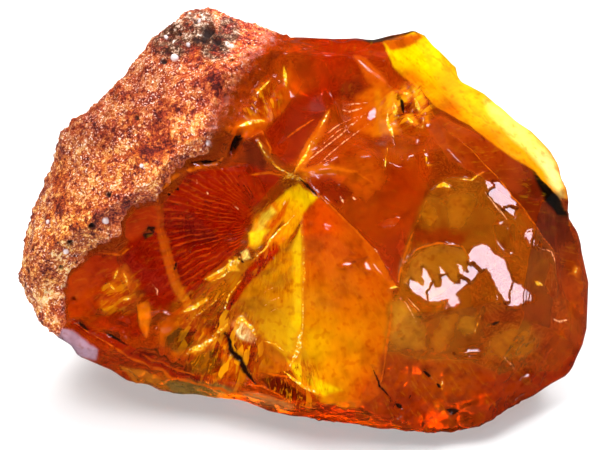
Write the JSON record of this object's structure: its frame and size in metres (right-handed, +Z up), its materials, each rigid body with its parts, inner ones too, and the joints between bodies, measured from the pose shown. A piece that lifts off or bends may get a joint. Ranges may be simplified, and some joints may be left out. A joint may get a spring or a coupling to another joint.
{
  "type": "raw amber piece",
  "caption": "Hand-sized lump of raw amber: granular crust at one end, see-through shell-shaped breaks at the front, rests on a worn flat.",
  "frame": {"origin": "middle of the piece's footprint, at the level of the flat it rests on", "axes": "+Z up, +X along the longest side, towards the end with the bright bevel, -Y towards the broken front"},
  "size_m": [0.09, 0.0562, 0.0599],
  "materials": {
    "amber": "clear, glossy yellow to red-brown amber on the breaks; rough granular crust elsewhere"
  },
  "bodies": {
    "root": {"amber_piece": "amber"}
  },
  "joints": []
}
